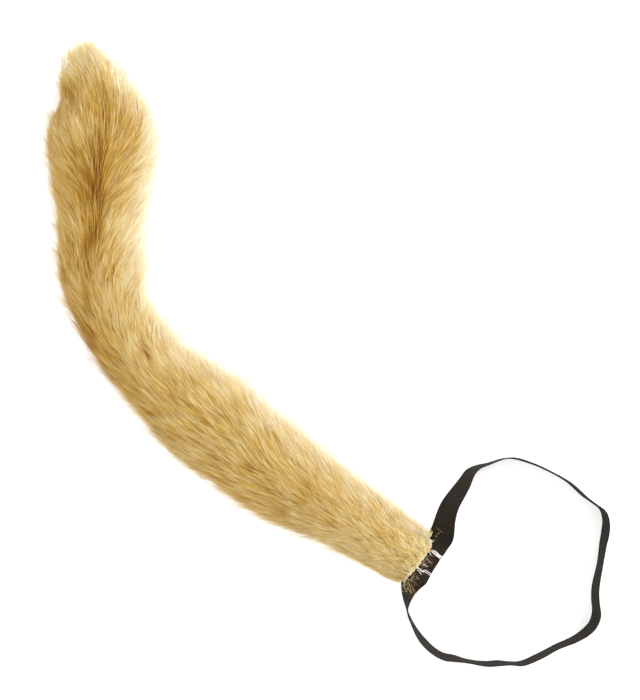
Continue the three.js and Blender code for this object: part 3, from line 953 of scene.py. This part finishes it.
elastic_finish = Finish("woven_elastic", roughness=0.8, specular=0.2)
weave_map = elastic_finish.node("UVMap", uv_map="UVMap").outputs["UV"]
weft_at = elastic_finish.node("Mapping", {"Vector": weave_map, "Scale": (640, 2, 1)})
weft = elastic_finish.node(
    "TexWave", {"Vector": weft_at.outputs["Vector"], "Scale": 0.32, "Distortion": 1.2, "Detail": 1},
    wave_type="BANDS", bands_direction="X",
)
here = elastic_finish.node("TexCoord").outputs["Object"]
speckle = elastic_finish.node("TexNoise", {"Vector": here, "Scale": 900, "Detail": 3})
dark = elastic_finish.ramp(speckle.outputs["Fac"], [
    (0.38, colour(16, 13, 10)),
    (0.62, colour(46, 38, 29)),
])
elastic_finish.paint(elastic_finish.mix(weft.outputs["Fac"], dark, colour(30, 24, 18)))
elastic_finish.bump(weft.outputs["Fac"], 0.4, 0.15 * MM)

band = place_piece(
    "elastic_band", wrapped_grid(BAND_STATIONS, BAND_ROUND, band_place, "elastic_band"),
    elastic_finish,
)
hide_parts("waist_band")
print("elastic:", len(band.data.polygons), "faces")

# %% [markdown]
# ## The edge of the backing
# The pile grows out of a pale knitted cloth. At the sewn end this backing is turned in and laid
# on the elastic, and its raw edge peeps out as an uneven cream line. It is one folded strip, so a
# wrapped grid makes it, with its outer edge moved in and out as cut knitting is.

# %% Backing edge
TAB_WIDTH = 50
TAB_INSIDE = 14.6
TAB_SHOWS = 1.4
TAB_LOW = 1.5
TAB_HIGH = 3.3
tail_left = np.array([-tail_way[1], tail_way[0]])


def at_sewn_end(along, across, height):
    """A point by its distance into the tail, to the left of its middle line, and off the table."""
    flat = tail_way * along[..., None] + tail_left * across[..., None]
    return np.concatenate([flat, height[..., None]], axis=-1) + FRAME_SHIFT


UNDER_TAIL = np.linspace(148, 204, 225)  # turns of the loop near the join
OVER_BAND = np.linspace(0, BAND_WIDTH, 61)


def elastic_under(flat):
    """How high the upper face of the elastic is under each point, near the sewn end."""
    turns, runs = np.meshgrid(UNDER_TAIL, OVER_BAND)
    face = on_band(turns.reshape(-1), runs.reshape(-1), BAND_THICKNESS / 2)
    nearest = KDTree(len(face))
    for i, (x, y, _) in enumerate(face):
        nearest.insert((x, y, 0), i)
    nearest.balance()
    found = [nearest.find((x, y, 0))[1] for x, y in flat.reshape(-1, 2)]
    return face[found, 2].reshape(flat.shape[:-1])


def on_elastic(along, across, above):
    """A point over the elastic: like at_sewn_end, but its height is told off the elastic's face."""
    points = at_sewn_end(along, across, above)
    points[..., 2] = above + elastic_under(points[..., :2])
    return points


def ragged(across):
    """How far the cut edge of the knit strays in and out, in millimetres."""
    coarse = 0.35 * np.sin(across * 2.9) + 0.3 * np.sin(across * 1.27 + 1)
    return coarse + 0.2 * np.sin(across * 0.6)


def backing_place(lengthwise, round_about):
    across = (lengthwise - 0.5) * TAB_WIDTH
    turn = round_about * FULL_TURN
    out = -np.cos(turn)
    edge = 0.5 + smooth_table(SEWN_EDGE, across)[:, 0] + ragged(across)
    along = np.where(out > 0, -edge * np.abs(out) ** 0.35, -out * TAB_INSIDE)
    middle = (TAB_LOW + TAB_HIGH) / 2
    thick = (TAB_HIGH - TAB_LOW) / 2 * np.sign(np.sin(turn)) * np.abs(np.sin(turn)) ** 0.4
    return on_elastic(along, across, middle + thick - BAND_THICKNESS)


knit_finish = Finish("knitted_backing", roughness=0.9, specular=0.15)
knit_at = knit_finish.node("TexCoord").outputs["Object"]
knit = knit_finish.node("TexVoronoi", {"Vector": knit_at, "Scale": 1100})
knit_finish.paint(knit_finish.ramp(knit.outputs["Distance"], [
    (0.1, colour(250, 243, 224)),
    (0.7, colour(206, 184, 138)),
]))
knit_finish.bump(knit.outputs["Distance"], 0.8, 0.3 * MM)
backing = place_piece(
    "backing_edge", wrapped_grid(150, 28, backing_place, "backing_edge"), knit_finish
)
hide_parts("backing_tab")
print("backing edge:", len(backing.data.polygons), "faces")

# %% [markdown]
# ## The stitches
# Two hand stitches of doubled white thread hold the tail on the elastic. Each thread is a round
# cord that comes out from under the backing, lies across the weave and dives through it. So each
# run of thread is a short tube along a smooth line, and the runs of one stitch are one piece.

# %% Threads
THREAD_RADIUS = 0.34
THREAD_STEPS = 26
THREAD_SIDES = 9


def tube_along(stops, radius, name):
    """A closed tube through points, round all along."""
    stops = np.array(stops, float)
    table = np.column_stack([np.linspace(0, 1, len(stops)), stops])

    def place(lengthwise, round_about):
        at = np.clip(lengthwise, 0.001, 0.999)
        middle = smooth_table(table, at)
        forward = unit(smooth_table(table, at + 0.001) - smooth_table(table, at - 0.001))
        side = unit(np.cross(forward, np.array([0.0, 0.0, 1.0]) + 0.001 * forward))
        up = np.cross(side, forward)
        turn = (round_about * FULL_TURN)[:, None]
        twist = 1 + 0.12 * np.sin(turn * 2 + lengthwise[:, None] * 40)
        return middle + radius * twist * (side * np.cos(turn) + up * np.sin(turn))

    return wrapped_grid(THREAD_STEPS, THREAD_SIDES, place, name)


def stitch(name, runs, finish):
    joined = bmesh.new()
    for stops in runs:
        out, across, height = np.array(stops, float).T
        run = tube_along(on_elastic(-out, across, height - BAND_THICKNESS), THREAD_RADIUS, name)
        joined.from_mesh(run)
        bpy.data.meshes.remove(run)
    mesh = bpy.data.meshes.new(name)
    joined.to_mesh(mesh)
    joined.free()
    return place_piece(name, mesh, finish)


thread_finish = Finish("white_thread", roughness=0.6, specular=0.4)
thread_at = thread_finish.node("TexCoord").outputs["Object"]
ply = thread_finish.node("TexNoise", {"Vector": thread_at, "Scale": 1400, "Detail": 2})
thread_finish.paint(thread_finish.ramp(ply.outputs["Fac"], [
    (0.3, colour(214, 210, 202)),
    (0.6, colour(255, 255, 252)),
]))
thread_finish.bump(ply.outputs["Fac"], 0.5, 0.1 * MM)

# Stops of each run: distance out past the sewn end, across to the tail's left, off the table.
UPPER_RUNS = [
    [(7.2, -14.9, 1.0), (8.0, -14.9, 1.8), (10, -14.9, 2.2), (12, -14.7, 2.2), (14.4, -14.5, 2.1),
     (17.5, -14.3, 1.9), (19.4, -14.2, 1.8), (19.6, -13.2, 1.5), (19.0, -12.2, 0.8)],
    [(7.2, -15.6, 0.9), (8.1, -15.6, 1.8), (10, -15.7, 2.3), (12.1, -15.6, 2.3), (14.4, -15.3, 2.1),
     (17.6, -15.0, 1.7), (19.0, -14.8, 0.8)],
    [(7.0, -16.6, 0.8), (8.0, -16.9, 1.7), (10, -17.5, 1.8), (12.1, -17.6, 1.8), (14.3, -17.2, 1.8),
     (16.7, -16.7, 1.8), (18.9, -16.8, 1.8), (21.0, -17.2, 1.7), (22.5, -17.3, 0.9)],
    [(8.6, -16.0, 0.9), (9.6, -16.5, 1.8), (11.5, -16.8, 1.9), (13.9, -16.4, 1.9),
     (16.4, -15.9, 1.8), (19.0, -16.1, 1.8), (21.4, -16.3, 1.7), (22.4, -16.3, 0.9)],
    [(4.0, -14.0, 2.6), (5.2, -13.8, 2.2), (6.3, -13.4, 1.9), (7.8, -12.8, 1.8),
     (9.0, -12.2, 1.6), (9.6, -12.0, 0.9)],
]
LOWER_RUNS = [
    [(4.0, 6.4, 2.4), (5.0, 6.2, 2.1), (6.6, 6.1, 1.9), (9.1, 6.3, 1.8), (11.4, 6.6, 1.7),
     (12.3, 6.7, 0.9)],
    [(4.4, 5.7, 2.3), (5.4, 5.5, 2.0), (7.2, 5.6, 1.9), (9.4, 5.8, 1.8), (11.0, 6.0, 1.6),
     (11.8, 6.2, 0.9)],
    [(5.6, 7.9, 1.2), (6.6, 7.9, 1.8), (8.0, 8.1, 1.8), (9.7, 8.6, 1.7), (11.0, 9.1, 1.5),
     (11.6, 9.3, 0.9)],
    [(11.0, 6.4, 1.2), (11.3, 5.4, 1.8), (11.8, 4.2, 1.9), (13.2, 3.6, 1.9), (15.8, 3.4, 1.9),
     (18.5, 3.6, 1.8), (20.4, 3.7, 1.7), (21.5, 3.9, 0.9)],
    [(11.6, 5.9, 1.1), (12.2, 5.5, 1.7), (13.6, 5.3, 1.8), (15.7, 5.1, 1.8), (18.1, 5.1, 1.8),
     (20.1, 5.4, 1.7), (21.2, 5.7, 0.9)],
]
stitch("stitch_upper", UPPER_RUNS, thread_finish)
stitch("stitch_lower", LOWER_RUNS, thread_finish)
print("stitches:", len(UPPER_RUNS), "and", len(LOWER_RUNS), "runs of thread")

# %% [markdown]
# ## Hairs that came loose at the join
# Cutting and sewing sets hairs free round the sewn end. They lie curled over the elastic, mostly
# at its lower corner. They are leaves like the pile's, with more stops along each so that they
# can curl.

# %% Loose hairs
STRAY_STOPS = 9
STRAY_WIDTH = 0.28
STRAY_GROUPS = [
    # how many, middle along and left, spread, heading, fan, length, curl
    (52, (-4.0, 20), (3.0, 5.5), 172, 55, 10, 11),  # at the lower corner
    (8, (-1.0, 29), (1.2, 2.0), 172, 12, 17, 2),  # long ones beside it
    (16, (-7.0, 2), (2.0, 12), 180, 45, 6, 10),  # all along the edge
    (16, (-6.0, -4), (2.0, 4.0), 165, 30, 9, 7),  # between the stitches
    (10, (-2.5, -27), (1.2, 3.0), 200, 50, 3.5, 8),  # at the upper corner
    (1, (2.0, -37), (1.0, 0.8), 172, 6, 13, 2),  # one past it
]


def stray_paths(count, middle, spread, heading, fan, long, curl):
    """Curling paths that start round a point, given along the tail and left of its middle."""
    start = np.array(middle) + chance.normal(0, 1, (count, 2)) * np.array(spread)
    way = np.radians(heading + chance.normal(0, fan, count))
    reach = long * chance.uniform(0.5, 1.3, count)
    bend = np.radians(chance.normal(0, curl, count))
    spots, here = [], start
    for i in range(STRAY_STOPS):
        spots.append(here)
        swing = way + bend * i + 0.3 * np.sin(i * 1.7 + start[:, 0] * 9)
        step = np.stack([np.cos(swing), np.sin(swing)], axis=-1)
        here = here + step * (reach / STRAY_STOPS)[:, None]
    flat = np.stack(spots, axis=1)
    rise = np.sin(np.linspace(0.15, 1, STRAY_STOPS) * math.pi)
    above = 0.2 + rise * chance.uniform(0.2, 1.8, count)[:, None]
    return on_elastic(flat[..., 0], flat[..., 1], above)


loose_finish = Finish("loose_fibre", roughness=0.55, specular=0.3)
loose_map = loose_finish.node("UVMap", uv_map="OFBake").outputs["UV"]
loose_parts = loose_finish.node("SeparateXYZ", {"Vector": loose_map})
loose_finish.paint(loose_finish.ramp(loose_parts.outputs["X"], [
    (0.1, colour(104, 80, 46)),
    (0.5, colour(172, 144, 96)),
    (0.9, colour(242, 228, 190)),
]))

strays = np.concatenate([stray_paths(*group) for group in STRAY_GROUPS])
total = len(strays)
stray_tone = np.clip(chance.normal(0.5, 0.3, total), 0.02, 0.98)
stray_width = STRAY_WIDTH * chance.uniform(0.5, 1.6, total)
leaves(
    "loose_hairs", strays, straight_up(total), stray_tone, stray_width, np.full(total, 0.6),
    loose_finish, "fur",
)
print("loose hairs:", total)

# %% [markdown]
# ## The tuft that closes the tip
# Tufts are sown round the tail, so few hairs grow straight out of its blunt end. On the real tail
# the sheet is gathered there, and its pile hides the gather. A block of small bundles that run
# forward from inside the end, side by side and one above the other, closes it the same way.

# %% End tuft
END_ROOT = np.array([-227.0, 275.0])  # inside the round end, on the table's plan
END_REACH = np.array([-17.0, 29.0])  # from there past the end
END_SIDE = np.array([0.903, 0.43])  # one millimetre to the tail's right
END_GATHER = 0.8
BUNDLE_SPREAD, BUNDLE_TONE, BUNDLE_WIDTH = 5.0, 0.66, 0.3
OFF_TABLE = 0.8


def end_bundle(side, height):
    root = END_ROOT + END_SIDE * side
    end = END_ROOT + END_REACH + END_SIDE * side * END_GATHER
    return [*root, *end, height, BUNDLE_SPREAD, BUNDLE_TONE]


bundles = np.array([
    end_bundle(side, height) for side in (-18, -11, -5, 1, 7) for height in (6, 12, 18, 24, 30)
])
end_points, end_tone = wisp_paths(bundles)
end_points[:, :, 2] = np.maximum(end_points[:, :, 2], OFF_TABLE)
total = len(end_tone)
leaves(
    "end_tuft", end_points, straight_up(total), end_tone,
    BUNDLE_WIDTH * chance.uniform(0.7, 1.25, total), np.full(total, 0.35), pile_finish, "fur",
)
print("end tuft:", total, "hairs")

# %% [markdown]
# ## Table, light and background
# The photograph is a bright studio shot: the table is blown out to white, and a soft light from
# the upper right bleaches that side of the fur.

# %% Table
FLOOR_SIZE = 6.0
bm = bmesh.new()
bmesh.ops.create_grid(bm, x_segments=1, y_segments=1, size=FLOOR_SIZE / 2)
bmesh.ops.translate(bm, verts=bm.verts, vec=(0, 0, -0.2 * MM))
floor_mesh = bpy.data.meshes.new("table_top")
bm.to_mesh(floor_mesh)
bm.free()
paper = Finish("white_paper", roughness=0.9, specular=0.1)
paper.shader.inputs["Base Color"].default_value = (0.93, 0.93, 0.92, 1)
paper.shader.inputs["Emission Color"].default_value = (1, 1, 1, 1)
paper.shader.inputs["Emission Strength"].default_value = 0.35
floor_mesh.materials.append(paper.material)
table_top = bpy.data.objects.new("table_top", floor_mesh)
bpy.context.collection.objects.link(table_top)

# %% Lights
world = bpy.data.worlds.new("studio")
bpy.context.scene.world = world
world.use_nodes = True
world.node_tree.nodes["Background"].inputs["Color"].default_value = (1, 1, 1, 1)
world.node_tree.nodes["Background"].inputs["Strength"].default_value = 0.97
bpy.context.scene.view_settings.view_transform = "Standard"


def softbox(name, place, target, size, power):
    light = bpy.data.lights.new(name, "AREA")
    light.shape = "SQUARE"
    light.size = size
    light.energy = power
    box = bpy.data.objects.new(name, light)
    box.location = place
    box.rotation_euler = (Vector(target) - Vector(place)).to_track_quat("-Z", "Y").to_euler()
    bpy.context.collection.objects.link(box)


softbox("key", (1.2, 0.75, 0.95), (0, 0, 0), 0.8, 21)
softbox("fill", (-0.9, -0.5, 1.4), (0, 0, 0), 1.2, 6)
